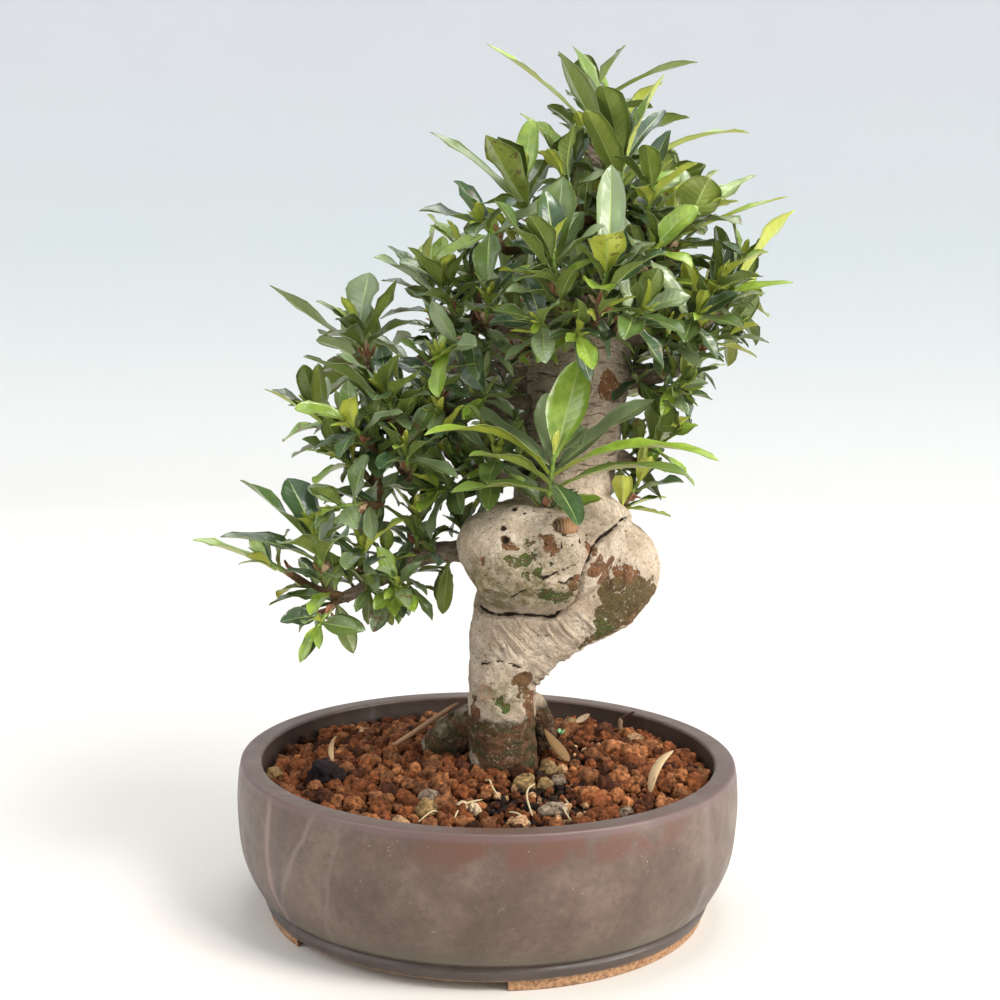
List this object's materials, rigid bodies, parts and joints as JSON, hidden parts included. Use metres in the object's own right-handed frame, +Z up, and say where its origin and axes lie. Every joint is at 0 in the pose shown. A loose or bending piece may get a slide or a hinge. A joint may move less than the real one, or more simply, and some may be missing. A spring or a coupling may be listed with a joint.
{
  "type": "potted bonsai tree",
  "caption": "Gardenia bonsai: a thick gnarled trunk with knotted bends and leafy branches, rooted in granular soil in a low round glazed pot with a footed base.",
  "frame": {"origin": "middle of the pot's foot ring, on the surface that the pot stands on", "axes": "+Z up, -Y towards the front of the tree, +X to the right as seen from the front"},
  "size_m": [0.2558, 0.222, 0.3826],
  "materials": {
    "glaze": "satin",
    "screen": "matte",
    "soil": "matte",
    "bark": "matte",
    "leaf": "satin"
  },
  "bodies": {
    "root": {"drain_screen": "screen", "pot": "glaze", "shoot_back_1": "leaf", "shoot_back_2": "leaf", "shoot_back_3": "leaf", "shoot_back_low_1": "leaf", "shoot_back_low_2": "leaf", "shoot_crown_back": "leaf", "shoot_crown_face": "leaf", "shoot_crown_inner": "leaf", "shoot_crown_left": "leaf", "shoot_crown_mid": "leaf", "shoot_crown_rear_1": "leaf", "shoot_crown_rear_2": "leaf", "shoot_crown_right": "leaf", "shoot_crown_top": "leaf", "shoot_front_rosette": "leaf", "shoot_front_skirt": "leaf", "shoot_inner_face": "leaf", "shoot_inner_side": "leaf", "shoot_inner_top": "leaf", "shoot_left_back_1": "leaf", "shoot_left_back_2": "leaf", "shoot_left_front": "leaf", "shoot_left_in": "leaf", "shoot_left_inner": "leaf", "shoot_left_light": "leaf", "shoot_left_mid": "leaf", "shoot_left_mid_a": "leaf", "shoot_left_mid_b": "leaf", "shoot_left_mid_c": "leaf", "shoot_left_rise": "leaf", "shoot_left_stem": "leaf", "shoot_left_top": "leaf", "shoot_left_under": "leaf", "shoot_low_inner": "leaf", "shoot_low_left": "leaf", "shoot_low_left_tip": "leaf", "shoot_low_mid": "leaf", "shoot_low_skirt": "leaf", "shoot_mid_front_a": "leaf", "shoot_mid_front_b": "leaf", "shoot_right_a": "leaf", "shoot_right_b": "leaf", "shoot_right_back_1": "leaf", "shoot_right_back_2": "leaf", "shoot_right_bulb": "leaf", "shoot_right_face": "leaf", "shoot_right_far": "leaf", "shoot_right_inner": "leaf", "shoot_right_low_a": "leaf", "shoot_right_low_b": "leaf", "shoot_right_low_c": "leaf", "shoot_right_skirt": "leaf", "shoot_small_low": "leaf", "shoot_top_inner": "leaf", "shoot_twig_tip": "leaf", "soil": "soil", "trunk": "bark"}
  },
  "joints": []
}
